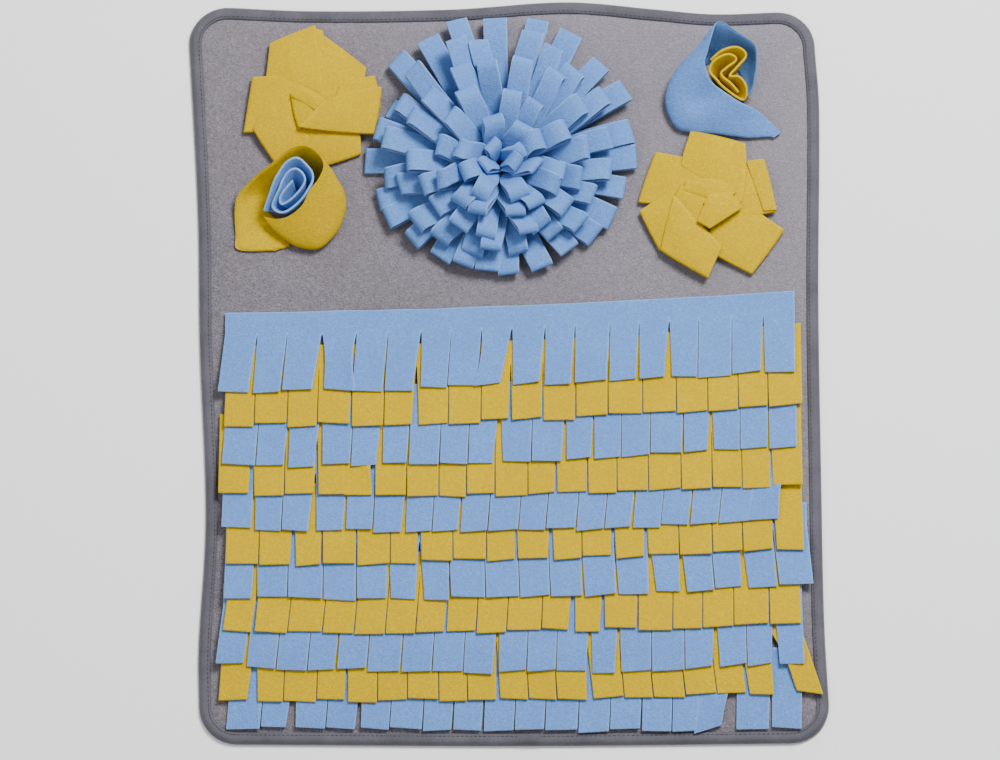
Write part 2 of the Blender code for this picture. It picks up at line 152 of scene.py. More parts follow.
# Short-pile polyester plush: matt, its tufts lean different ways, so it is mottled light and dark.
plush = bpy.data.materials.new("grey_short_pile_plush")
plush.use_nodes = True
tree = plush.node_tree
shader = tree.nodes["Principled BSDF"]
place = node(tree, "TexCoord").outputs["Object"]
tufts = node(tree, "TexNoise", inputs={
    "Vector": place, "Scale": 420, "Detail": 4, "Roughness": 0.66, "Distortion": 1.4})  # 2 to 3 mm tufts
hairs = node(tree, "TexNoise", inputs={"Vector": place, "Scale": 1100, "Detail": 2, "Roughness": 0.6})
swells = node(tree, "TexNoise", inputs={"Vector": place, "Scale": 14, "Detail": 3})  # 70 mm
both = node(tree, "Mix", inputs={
    0: 0.35, 2: contrast(tree, tufts.outputs["Fac"], 0.36, 0.64),
    3: contrast(tree, hairs.outputs["Fac"], 0.3, 0.7)})
pile = blend(tree, both.outputs[0], "4f4a53", "938d98")
broad = contrast(tree, swells.outputs["Fac"], 0.3, 0.7, most=0.5)
shaded = blend(tree, broad, pile, "cfc9c6", "MULTIPLY")
# Painted light: a paler grey is blended in towards the upper right corner, the side the key light comes from.
spot = node(tree, "SeparateXYZ", inputs={0: place})
corner = node(tree, "Math", {"operation": "ADD"}, {0: spot.outputs["X"], 1: spot.outputs["Y"]})
painted_corner_light = contrast(tree, corner.outputs[0], -0.15, 0.5, most=0.42)  # painted light: the plush is paler towards the upper right, where the key light falls
tree.links.new(blend(tree, painted_corner_light, shaded, "a7a1ac"), shader.inputs["Base Color"])
relief = node(tree, "Bump", inputs={"Strength": 0.7, "Distance": 0.0016, "Height": both.outputs[0]})
tree.links.new(relief.outputs["Normal"], shader.inputs["Normal"])
shader.inputs["Roughness"].default_value = 0.96
shader.inputs["Specular IOR Level"].default_value = 0.2
shader.inputs["Sheen Weight"].default_value = 0.25
shader.inputs["Sheen Roughness"].default_value = 0.6

bm = bmesh.new()
bmesh.ops.create_grid(bm, x_segments=PANEL_CELLS[0], y_segments=PANEL_CELLS[1], size=1)
bmesh.ops.solidify(bm, geom=bm.faces[:], thickness=1)
top_level = max(v.co.z for v in bm.verts)
for v in bm.verts:
    x, y = v.co.x * HALF_WIDTH, v.co.y * HALF_LENGTH
    over_x, over_y = abs(x) - (HALF_WIDTH - CORNER), abs(y) - (HALF_LENGTH - CORNER)
    if over_x > 0 and over_y > 0:
        out = math.hypot(over_x, over_y)
    else:
        out = CORNER + max(over_x - CORNER, over_y - CORNER)
    if out > CORNER - PANEL_EDGE:  # what lies outside the rounded edge is drawn in onto it
        if over_x > 0 and over_y > 0:
            drawn = (CORNER - PANEL_EDGE) / out
            x -= math.copysign(over_x * (1 - drawn), x)
            y -= math.copysign(over_y * (1 - drawn), y)
        else:
            x = math.copysign(min(abs(x), HALF_WIDTH - PANEL_EDGE), x)
            y = math.copysign(min(abs(y), HALF_LENGTH - PANEL_EDGE), y)
        out = CORNER - PANEL_EDGE
    raised = ease(9.0, 14.5, CORNER - out)
    lying_x, lying_y = bowed(x, y)
    if v.co.z > top_level - 0.5:
        ripple = 0.32 * wave(x, y, 46, 3) + 0.14 * wave(x, y, 17, 8)
        z = PRESSED_TOP + (PANEL_TOP + ripple - PRESSED_TOP) * raised
    else:
        z = PRESSED_FOOT * (1 - raised)
    v.co = (lying_x, lying_y, z)
bmesh.ops.remove_doubles(bm, verts=bm.verts, dist=0.2)
bmesh.ops.recalc_face_normals(bm, faces=bm.faces)
panel = piece("plush_panel", bm, plush, "mat_panel")

# ------------------------------------------------------------------ the edge binding
# One strip of smooth dark grey woven tape, folded round the panel's raw edge and sewn through with
# one line of stitches. It puckers a little along them, and its ends overlap on the lower side.
BINDING_STATIONS = 420
BINDING_SECTION = (  # inset, height, round the C from its lower lip
    (9.5, 0.1), (5.0, 0.0), (1.6, 0.2), (0.0, 2.4), (1.4, 4.5), (4.5, 5.3), (7.4, 4.55), (9.2, 4.5),
    (9.6, 3.9), (9.2, 3.25), (6.0, 3.0), (2.3, 2.9), (2.3, 1.1), (6.0, 0.95), (9.2, 0.9),
)
STITCH_INSET = 7.5
STITCH_PITCH = 3.6
STITCH_SHAPE = (STITCH_PITCH * 0.36, 0.34, 0.3)  # half length, half width and half height
STITCH_HEIGHT = 4.72
JOIN_X = 18.0  # where the strip's ends overlap, on the lower side
JOIN_LIFT = 0.7


def outline(count, inset):
    """Points spread evenly along the rounded outline, anticlockwise, moved in by inset."""
    flat_x, flat_y = HALF_WIDTH - CORNER, HALF_LENGTH - CORNER
    arc = math.pi / 2 * CORNER
    sides = (  # start x, start y, along x, along y, length
        (-flat_x, -flat_y, 1, 0, 2 * flat_x), (flat_x, -flat_y, 0, 1, 2 * flat_y),
        (flat_x, flat_y, -1, 0, 2 * flat_x), (-flat_x, flat_y, 0, -1, 2 * flat_y),
    )
    total = 4 * (flat_x + flat_y + arc)
    reach = CORNER - inset
    points = []
    for k in range(count):
        run = total * k / count
        for start_x, start_y, along_x, along_y, length in sides:
            out_x, out_y = along_y, -along_x
            if run <= length:
                points.append(bowed(
                    start_x + along_x * run + out_x * reach,
                    start_y + along_y * run + out_y * reach,
                ))
                break
            run -= length
            if run < arc:
                turn = run / CORNER
                end_x, end_y = start_x + along_x * length, start_y + along_y * length
                points.append(bowed(
                    end_x + reach * (out_x * math.cos(turn) + along_x * math.sin(turn)),
                    end_y + reach * (out_y * math.cos(turn) + along_y * math.sin(turn)),
                ))
                break
            run -= arc
    return points


# Woven polyester tape: smooth and matt, with a fine rib across it and a faint light bloom.
tape = bpy.data.materials.new("dark_woven_tape")
tape.use_nodes = True
tree = tape.node_tree
shader = tree.nodes["Principled BSDF"]
place = node(tree, "TexCoord").outputs["Object"]
thread = node(tree, "TexNoise", inputs={"Vector": place, "Scale": 900, "Detail": 3, "Roughness": 0.6})
bloom = node(tree, "TexNoise", inputs={"Vector": place, "Scale": 40, "Detail": 3})
mottle = node(tree, "Mix", inputs={0: 0.5, 2: thread.outputs["Fac"], 3: bloom.outputs["Fac"]})
mottle_share = contrast(tree, mottle.outputs[0], 0.35, 0.65)
tree.links.new(blend(tree, mottle_share, "3b3a43", "52505b"), shader.inputs["Base Color"])
relief = node(tree, "Bump", inputs={"Strength": 0.4, "Distance": 0.0004, "Height": thread.outputs["Fac"]})
tree.links.new(relief.outputs["Normal"], shader.inputs["Normal"])
shader.inputs["Roughness"].default_value = 0.72
shader.inputs["Sheen Weight"].default_value = 0.15

bm = bmesh.new()
bmesh.ops.create_circle(bm, segments=BINDING_STATIONS, radius=1)
bm.verts.ensure_lookup_table()
rows = [list(bm.verts)]
for _ in BINDING_SECTION[1:]:
    ring = rows[-1]
    edges = [bm.edges.get((ring[k], ring[(k + 1) % len(ring)])) for k in range(len(ring))]
    grown = bmesh.ops.extrude_edge_only(bm, edges=edges)["geom"]
    fresh = {v for v in grown if isinstance(v, bmesh.types.BMVert)}
    rows.append([next(e.other_vert(v) for e in v.link_edges if e.other_vert(v) in fresh) for v in ring])
for ring, (inset, height) in zip(rows, BINDING_SECTION):
    upper = height > 2.6
    for k, (v, (x, y)) in enumerate(zip(ring, outline(len(ring), inset))):
        pucker = 0.16 * math.sin(k * 1.9) + 0.22 * wave(x, y, 13, 5)
        over_join = ease(JOIN_X - 9, JOIN_X - 7.5, x) * (1 - ease(JOIN_X + 5, JOIN_X + 8, x))
        joined = JOIN_LIFT * over_join if y < 0 else 0
        lift = (pucker * 0.8 + joined) if upper and inset > 1 else 0
        v.co = (x, y, height + lift)
closing = [bm.edges.get((rows[end][k], rows[end][(k + 1) % BINDING_STATIONS]))
           for end in (0, -1) for k in range(BINDING_STATIONS)]
bmesh.ops.bridge_loops(bm, edges=closing)
bmesh.ops.recalc_face_normals(bm, faces=bm.faces)
binding = piece("binding_tape", bm, tape, "edge_binding")

# The stitches: one line of polyester thread, each stitch sunk a little into the tape.
bm = bmesh.new()
count = round(4 * (HALF_WIDTH + HALF_LENGTH - 2 * CORNER + math.pi / 2 * CORNER) / STITCH_PITCH)
seam = outline(count, STITCH_INSET)
for k, (x, y) in enumerate(seam):
    next_x, next_y = seam[(k + 1) % count]
    turn = math.atan2(next_y - y, next_x - x)
    stitch = bmesh.ops.create_icosphere(bm, subdivisions=1, radius=1)["verts"]
    bmesh.ops.scale(bm, vec=STITCH_SHAPE, verts=stitch)
    bmesh.ops.rotate(bm, cent=(0, 0, 0), verts=stitch, matrix=Matrix.Rotation(turn, 3, "Z"))
    bmesh.ops.translate(bm, vec=((x + next_x) / 2, (y + next_y) / 2, STITCH_HEIGHT), verts=stitch)
thread_material = bpy.data.materials.new("dark_thread")
thread_material.use_nodes = True
tree = thread_material.node_tree
shader = tree.nodes["Principled BSDF"]
twist = node(tree, "TexNoise", inputs={"Vector": node(tree, "TexCoord").outputs["Object"], "Scale": 1500})
tree.links.new(blend(tree, twist.outputs["Fac"], "25252d", "37363f"), shader.inputs["Base Color"])
shader.inputs["Roughness"].default_value = 0.6
stitches = piece("binding_stitches", bm, thread_material, None)

# ------------------------------------------------------------------ the fringes
# Eleven strips of anti-pill fleece, blue and yellow by turns, slit into tabs by hand and sewn on
# like roof tiles: each covers the top of the next. The tabs curl a little and differ in length.
LYING = 4.3
FLEECE = 1.9
LAYER = 2.3
FRINGE_BASE = LYING + 0.6
STRIP_LENGTH = 66.0
HEADER = 18.0
SLIT = 0.7
HALF_ROW = 225.0
ACROSS = (0.0, 0.05, 0.28, 0.5, 0.72, 0.95, 1.0)  # where a tab's cells start, narrow at its cut edges
DOWN = (0.0, 0.07, 0.35, 0.65, 0.92, 1.0)  # the same for the header
TAB_DOWN = (0.0, 0.08, 0.2, 0.32, 0.44, 0.56, 0.68, 0.8, 0.9, 0.975, 1.0)  # and down a tab
# Ends of the tabs (left, middle, right), row's two ends, tabs, lean of first and last tab in degrees
# (positive to the right), and the slits that stand open with their widths.
FRINGE_ROWS = (
    (-19.0, -13.3, -1.2, -223.5, 227.4, 18, -6.5, 0, {1: 3.4, 2: 1.4, 3: 6, 5: 1.7, 6: 6, 9: 6.5, 10: 3.8,
                                                     11: 2.9, 12: 1.9, 13: 2.5, 14: 5.7, 17: 2.9}),
    (-44.9, -41.6, -27.9, -222.2, 232.2, 18, -2, 1, {4: 1.5, 6: 5.5, 9: 2.4, 10: 1.2, 11: 1.2}),
    (-78.8, -74.4, -63.1, -222.2, 228.4, 19, -4, 0, {2: 3.4, 3: 6.5, 5: 5, 6: 1.5, 9: 8, 11: 3.8, 12: 2.5,
                                                    15: 1.5, 16: 5, 18: 1.5}),
    (-101.1, -101.5, -93.8, -227.4, 232.2, 19, -1, 1, {1: 4.5, 3: 3.5, 11: 2, 12: 1.5, 18: 2}),
    (-128.2, -129.8, -120.9, -223.9, 221.9, 19, -2, -7, {1: 3, 3: 6.5, 4: 2.5, 6: 3.4, 8: 2, 14: 2, 16: 1.5}),
    (-157.3, -153.7, -145.2, -221.3, 232.2, 18, -1, 2, {2: 4.5, 3: 1.5, 4: 1.5, 6: 4, 9: 2.5, 10: 4.5, 12: 4,
                                                       13: 3.5, 17: 3}),
    (-184.0, -184.0, -172.7, -221.9, 236.0, 18, -2, 6, {1: 4.5, 5: 3.5, 6: 7, 7: 1.5, 11: 2, 12: 1.8, 13: 6,
                                                       14: 5.5, 16: 5.5, 17: 1.5}),
    (-211.9, -211.1, -205.4, -218.3, 230.3, 18, -7, 1, {1: 2.5, 7: 2, 11: 5.5, 12: 4, 13: 1.5, 17: 1.2}),
    (-237.0, -243.8, -235.7, -223.9, 232.0, 19, -7, 2, {1: 2.5, 4: 2, 6: 1.2, 9: 5, 12: 5, 13: 5,
                                                        16: 6, 18: 6.5}),
    (-264.9, -264.9, -258.4, -223.9, 232.0, 19, -4, 9, {1: 8, 4: 2.5, 9: 3, 12: 5, 17: 3, 18: 9}),
    (-286.7, -289.2, -288.6, -217.1, 232.0, 18, -5, -1, {2: 7.5, 4: 4.5, 7: 1.5, 8: 2, 13: 1.2,
                                                         15: 9, 17: 2.5}),
)
FIRST_EDGE = (47.6, 52.6, 65.8)  # sewn edge of the first row at the left, middle and right
PITCH = (26.8, 27.7, 28.8)
# Tabs that lie oddly: row, tab, swing in degrees, curl of its left and right side in mm, shift in mm
ODD_TABS = {
    (1, 4): (5.0, 1.5, 3.0, -1.0), (1, 9): (-4.0, 2.6, 0.0, 0.0), (4, 5): (-2.0, 0.0, 3.0, 0.0),
    (5, 19): (-3.0, 0.0, 3.0, 0.0), (10, 19): (10.0, 2.0, 0.0, 0.0), (11, 16): (-13.0, 0.0, 2.0, 0.0),
}


def fleece(name, light, dark, edge):
    """Anti-pill fleece: matt, its short nap combed into little worms, its cut edges paler."""
    material = bpy.data.materials.new(name)
    material.use_nodes = True
    tree = material.node_tree
    shader = tree.nodes["Principled BSDF"]
    place = node(tree, "TexCoord").outputs["Object"]
    nap = node(tree, "TexNoise", inputs={
        "Vector": place, "Scale": 500, "Detail": 3, "Roughness": 0.55, "Distortion": 1.6})  # 2 mm
    fuzz = node(tree, "TexNoise", inputs={"Vector": place, "Scale": 2000, "Detail": 2, "Roughness": 0.6})
    swells = node(tree, "TexNoise", inputs={"Vector": place, "Scale": 28, "Detail": 2})  # 35 mm
    both = node(tree, "Mix", inputs={
        0: 0.3, 2: contrast(tree, nap.outputs["Fac"], 0.37, 0.63),
        3: contrast(tree, fuzz.outputs["Fac"], 0.3, 0.7)})
    tone = blend(tree, both.outputs[0], dark, light)
    broad = contrast(tree, swells.outputs["Fac"], 0.35, 0.75, most=0.35)
    faded = blend(tree, broad, tone, dark)
    cut = node(tree, "Attribute", {"attribute_name": "cut"})
    at_edge = node(tree, "Math", {"operation": "POWER"}, {0: cut.outputs["Fac"], 1: 1.6})
    edge_share = node(tree, "Math", {"operation": "MULTIPLY"}, {0: at_edge.outputs[0], 1: 0.55})
    tree.links.new(blend(tree, edge_share.outputs[0], faded, edge), shader.inputs["Base Color"])
    relief = node(tree, "Bump", inputs={"Strength": 0.55, "Distance": 0.0011, "Height": both.outputs[0]})
    tree.links.new(relief.outputs["Normal"], shader.inputs["Normal"])
    shader.inputs["Roughness"].default_value = 0.95
    shader.inputs["Specular IOR Level"].default_value = 0.05
    shader.inputs["Sheen Weight"].default_value = 0.06
    shader.inputs["Sheen Roughness"].default_value = 0.5
    shader.inputs["Sheen Tint"].default_value = linear(light)
    return material


BLUE = fleece("blue_anti_pill_fleece", "709fe2", "5a82c4", "a3c6f2")
YELLOW = fleece("yellow_anti_pill_fleece", "d8b500", "bb9900", "dcbe00")


def mark_cut_edges(bm):
    """Marks the sheet's raw edges, where the fleece shows paler."""
    cut = bm.verts.layers.float.new("cut")
    for v in bm.verts:
        v[cut] = 1.0 if v.is_boundary else 0.0


def thicken(obj, thickness, offset, even=True):
    """Gives a sheet its thickness: offset 1 adds it on the side that the faces look to."""
    modifier = obj.modifiers.new("cloth", "SOLIDIFY")
    modifier.thickness = thickness * MM
    modifier.offset = offset
    modifier.use_even_offset = even


def across(values, x):
    """A curve through the values at the left, middle and right of the mat."""
    left, middle, right = values
    u = x / HALF_ROW
    return middle + (right - left) / 2 * u + ((right + left) / 2 - middle) * u * u


def fringe_height(row, x, y):
    """Underside of a row: one layer up for each row that it passes over, flat past the last."""
    passed = 1 + (across(FIRST_EDGE, x) - y) / across(PITCH, x)
    return FRINGE_BASE + LAYER * (min(passed, len(FRINGE_ROWS)) - row) + 0.22 * wave(x, y, 30, 2)


def slit_places(row, left, right, tabs):
    """Where one row's slits start: hand-cut tabs differ by a tenth or so in width."""
    cutter = random.Random(100 + row)
    widths = [1 + cutter.uniform(-0.1, 0.1) for _ in range(tabs)]
    scale = (right - left) / sum(widths)
    places = [left]
    for width in widths:
        places.append(places[-1] + width * scale)
    return places


for index, numbers in enumerate(FRINGE_ROWS):
    row = index + 1
    end_left, end_middle, end_right, left, right, tabs, lean_first, lean_last, open_slits = numbers
    ends = (end_left, end_middle, end_right)
    places = slit_places(row, left, right, tabs)
    sewer = random.Random(300 + row)
    tab_facts = []  # how much longer, its end's slant, lift of the end, curl left, curl right
    for _ in range(tabs + 1):
        tab_facts.append((sewer.uniform(-1.6, 1.6), sewer.uniform(-0.9, 0.9), sewer.uniform(0.2, 1.6),
                          max(0, sewer.uniform(-0.8, 1.1)), max(0, sewer.uniform(-0.8, 1.1))))
    cells_across, cells_down = len(ACROSS) - 1, len(DOWN) + len(TAB_DOWN) - 2
    bm = bmesh.new()
    bmesh.ops.create_grid(bm, x_segments=tabs * cells_across, y_segments=cells_down, size=1)
    column = {v: round((v.co.x + 1) / 2 * tabs * cells_across) for v in bm.verts}
    level = {v: round((1 - v.co.y) / 2 * cells_down) for v in bm.verts}
    for v in bm.verts:
        v.co = (column[v], -level[v], 0)
    header_cells = len(DOWN) - 1
    slits = [
        e for e in bm.edges
        if all(round(v.co.x) % cells_across == 0 and 0 < round(v.co.x) < tabs * cells_across
               for v in e.verts)
        and max(-round(v.co.y) for v in e.verts) > header_cells and e.verts[0].co.x == e.verts[1].co.x
    ]
    bmesh.ops.split_edges(bm, edges=slits)
    mark_cut_edges(bm)
    tab_length = STRIP_LENGTH - HEADER
    tab_of = {}
    for v in bm.verts:
        middle = sum(f.calc_center_median().x for f in v.link_faces) / len(v.link_faces)
        tab_of[v] = min(int(middle / cells_across), tabs - 1)
    for v in bm.verts:
        tab = tab_of[v]
        station, down = round(v.co.x) - tab * cells_across, -round(v.co.y)
        a = ACROSS[min(max(station, 0), cells_across)]
        x_root = places[tab] + (places[tab + 1] - places[tab]) * a
        edge = across(ends, x_root) + STRIP_LENGTH
        if down <= header_cells:
            ragged = 0.9 * wave(x_root, 0, 38, 20 + row) if down == 0 else 0
            y = edge - HEADER * DOWN[down] + ragged
            v.co = (x_root, y, fringe_height(row, x_root, y))
            continue
        t = TAB_DOWN[down - header_cells]
        longer, slant, lift, curl_left, curl_right = tab_facts[tab]
        swing, odd_left, odd_right, shift = ODD_TABS.get((row, tab + 1), (0, 0, 0, 0))
        shares = []
        for slit, towards in ((tab, 1), (tab + 1, -1)):
            lean = lean_first + (lean_last - lean_first) * slit / tabs + swing
            half_slit = open_slits.get(slit, SLIT) / 2 if 0 < slit < tabs else 0
            shares.append(math.tan(math.radians(lean)) * tab_length * t + towards * half_slit * t**0.8)
        x = x_root + shares[0] * (1 - a) + shares[1] * a + shift * t
        reach = tab_length * t + (longer + slant * (2 * a - 1)) * t * t
        y = across(ends, x_root) + tab_length - reach
        y -= math.sin(math.radians(swing)) * (a - 0.5) * 25 * t
        free = ease(0.45, 1.0, t)
        side_left, side_right = (1 - a) ** 2, a**2
        z = fringe_height(row, x, y) + free * lift * 0.5
        z += (side_left * curl_left + side_right * curl_right) * ease(0.25, 0.7, t)
        z += (side_left * odd_left + side_right * odd_right) * math.sin(math.pi * min(t * 1.1, 1)) ** 1.2
        x += (side_left * odd_left - side_right * odd_right) * 0.75 * math.sin(math.pi * min(t * 1.1, 1))
        v.co = (x, y, z)
    strip = piece("fringe_strip_%02d" % row, bm, BLUE if index % 2 == 0 else YELLOW, "fringe_row_%02d" % row)
    thicken(strip, FLEECE, 1)
    smooth(strip)

# ------------------------------------------------------------------ the pom-pom
# One long strip of blue fleece, folded double, slit across its fold into loops, wound up from the
# middle and sewn down by its foot. The outer loops lie flat on the plush, the inner ones stand.
POM_X, POM_Y = -6.0, 163.0
BEND = 6.0  # radius where a loop leaves its upright band
LOOP_FLEECE = 1.7
# Turns, each of one or two rounds: radius, loops, band top, slope, length at the sides, how much
# longer at the back and shorter at the front, width, opening at the fold, first, droop
POM_TURNS = (
    ((36.0, 25, 6.5, 1, 61, 20, 18.5, 5.4, 4, 4),),
    ((30.0, 21, 12.5, 13, 53, 18, 18.0, 7.5, 12, 10),),
    ((24.0, 17, 18.5, 28, 44, 13, 17.5, 9.0, 6, 16),),
    ((17.5, 13, 25.0, 44, 34, 7, 17.0, 10.5, 0, 24),),
    ((10.5, 8, 30.0, 60, 25, 2, 16.0, 10.5, 20, 34), (4.0, 4, 32.0, 80, 18, 0, 14.0, 9.0, 45, 40)),
)
SHORT_FROM, SHORT_TO, SHORT_LOOP = 134, 168, 58  # outer loops that stop at the left rosette
LOOP_ACROSS = (-1.0, -0.88, -0.3, 0.3, 0.88, 1.0)
LOOP_BAND = (0.0, 0.5, 1.0)
LOOP_BEND = (0.33, 0.66, 1.0)
LOOP_FREE = (0.12, 0.24, 0.36, 0.48, 0.6, 0.7, 0.8, 0.9, 1.0)
LOOP_FOLD = (-60, -30, 0, 30, 60)
LOOP_FOOT = 5.0
LOOP_LOWEST = LYING + 1.0


def loop_course(radius, band_top, slope, length, opening, droop):
    """Stations round one loop: distance out, height, share of its free length, and direction."""
    line = [(radius, LOOP_FOOT + (band_top - LOOP_FOOT) * u, 0.0, 90.0) for u in LOOP_BAND]
    for u in LOOP_BEND:
        turn = math.radians(90 + (slope - 90) * u)
        rho, z = radius + BEND * (1 - math.sin(turn)), band_top + BEND * math.cos(turn)
        line.append((rho, z, 0.0, math.degrees(turn)))
    rho, z, done = line[-1][0], line[-1][1], 0.0
    for share in LOOP_FREE:
        direction = slope - droop * (share + done) / 2
        step = (share - done) * length
        rho += step * math.cos(math.radians(direction))
        z += step * math.sin(math.radians(direction))
        done = share
        line.append((rho, z, share, slope - droop * share))
    course = []
    for side in (1, -1):
        for rho, z, share, direction in (line if side == 1 else line[::-1]):
            half = 1.0 + (opening / 2 - 1.0) * ease(0.25, 1.0, share) ** 1.3 if opening > 2 else 1.0
            turn = math.radians(direction)
            course.append((rho + side * half * math.sin(turn), z - side * half * math.cos(turn),
                           share, direction))
        if side == 1:
            rho, z, share, direction = line[-1]
            turn, half = math.radians(direction), opening / 2
            for degrees in LOOP_FOLD:
                round_fold = math.radians(degrees)
                ahead, up = half * math.cos(round_fold), half * math.sin(round_fold)
                course.append((
                    rho + ahead * math.cos(turn) - up * math.sin(turn),
                    z + ahead * math.sin(turn) + up * math.cos(turn), 1.0, direction,
                ))
    return course


for index, rounds in enumerate(POM_TURNS):
    number = index + 1
    sewer = random.Random(400 + number)
    loose = 0.45 if number == 1 else 1.0
    bm = bmesh.new()
    for radius, loops, band_top, slope, length, longer, width, opening, first, droop in rounds:
        half_step = math.pi / loops
        for k in range(loops):
            middle = math.radians(first) + 2 * k * half_step
            turned = math.degrees(middle) % 360
            reach = length + longer * math.sin(middle)
            if number == 1 and SHORT_FROM < turned < SHORT_TO:
                reach = SHORT_LOOP
            raised = 1 if k % 2 else 0
            middle += math.radians(sewer.uniform(-5, 5)) * loose
            open_by = opening * sewer.uniform(0.5, 1.5)
            twist = math.radians(sewer.uniform(-26, 26)) * loose
            sway = sewer.uniform(-8, 8) * loose
            wide = width * sewer.uniform(0.9, 1.08)
            pitch = slope + sewer.uniform(-7, 7) * loose + raised * 4
            reach *= 1 + sewer.uniform(-0.14, 0.06) * loose
            course = loop_course(radius, band_top + raised * (1.0 if number == 1 else 2.5), pitch,
                                 reach, open_by, droop + raised * 6)
            cells_across, cells_along = len(LOOP_ACROSS) - 1, len(course) - 1
            before = set(bm.verts)
            bmesh.ops.create_grid(bm, x_segments=cells_across, y_segments=cells_along, size=1)
            for v in bm.verts:
                if v in before:
                    continue
                a = LOOP_ACROSS[round((v.co.x + 1) / 2 * cells_across)]
                rho, z, share, direction = course[round((v.co.y + 1) / 2 * cells_along)]
                narrow = max(rho * math.tan(half_step) * (1.7 if number < 4 else 1.2) - 0.3, 2.0)
                half_width = min(wide / 2, narrow)
                turn = math.radians(direction)
                roll = twist * share
                side = a * half_width * math.cos(roll) + sway * share * share
                lift = a * half_width * math.sin(roll)
                rho -= lift * math.sin(turn)
                z = max(z + lift * math.cos(turn), LOOP_LOWEST)
                v.co = (
                    POM_X + rho * math.cos(middle) - side * math.sin(middle),
                    POM_Y + rho * math.sin(middle) + side * math.cos(middle),
                    z,
                )
    mark_cut_edges(bm)
    turn_piece = piece("pom_loops_%d" % number, bm, BLUE, "pom_turn_%d" % number)
    thicken(turn_piece, LOOP_FLEECE, 0, even=False)
    smooth(turn_piece)

# ------------------------------------------------------------------ the rosettes
# A strip of yellow fleece, folded double and turned corner over corner round a wound middle, and
# sewn down flat. Each petal is two layers with the fold at its outer edge.
PETAL_LAYER = 1.6
PETAL_ACROSS = (-1.0, -0.93, -0.6, -0.2, 0.2, 0.6, 0.93, 1.0)
PETAL_OUT = (0.0, 0.15, 0.35, 0.55, 0.75, 0.92)
PETAL_FOLD = (90, 60, 30, 0, -30, -60, -90)
PETAL_CROWN = 1.7  # how much fuller than its own crown each petal is
PETAL_LOWEST = LYING + 0.9


def petal(bm, middle_x, middle_y, numbers):
    """One doubled flap: its upper layer runs out, turns round the fold and comes back underneath."""
    inner_a, outer_a, outer_b, inner_b, bow_a, bow_out, bow_b, crown, gap = numbers
    inner_a, outer_a, outer_b, inner_b = map(Vector, (inner_a, outer_a, outer_b, inner_b))
    outwards = ((outer_a + outer_b) / 2 - (inner_a + inner_b) / 2)
    outwards.z = 0
    outwards.normalize()
    sideways = Vector((-outwards.y, outwards.x, 0))
    half = (PETAL_LAYER + gap) / 2
    course = [(out, 0.0, 0.0) for out in PETAL_OUT]
    for degrees in PETAL_FOLD:
        turn = math.radians(degrees)
        course.append((1.0, math.cos(turn) * half, (math.sin(turn) - 1) * half))
    course += [(out, 0.0, -2 * half) for out in PETAL_OUT[::-1]]
    before = set(bm.verts)
    bmesh.ops.create_grid(bm, x_segments=len(PETAL_ACROSS) - 1, y_segments=len(course) - 1, size=1)
    for v in bm.verts:
        if v in before:
            continue
        a = (PETAL_ACROSS[round((v.co.x + 1) / 2 * (len(PETAL_ACROSS) - 1))] + 1) / 2
        out, ahead, down = course[round((v.co.y + 1) / 2 * (len(course) - 1))]
        inner = inner_a.lerp(inner_b, a)
        outer = outer_a.lerp(outer_b, a)
        spot = inner.lerp(outer, out)
        spot += outwards * (bow_out * 4 * a * (1 - a) * out + ahead - half * out)
        spot -= sideways * (bow_a * 4 * out * (1 - out) * (1 - a))
        spot += sideways * (bow_b * 4 * out * (1 - out) * a)
        fullness = 4 * a * (1 - a) * math.sin(math.pi * min(out, 1.0) * 0.9)
        spot.z += down * min(1.0, 0.35 + out) + PETAL_CROWN * crown * fullness
        spot.z += 0.35 * wave(spot.x, spot.y, 14, 31 + inner_a.x * 0.37)
        spot.z = max(spot.z, PETAL_LOWEST)
        v.co = (middle_x + spot.x, middle_y + spot.y, spot.z)


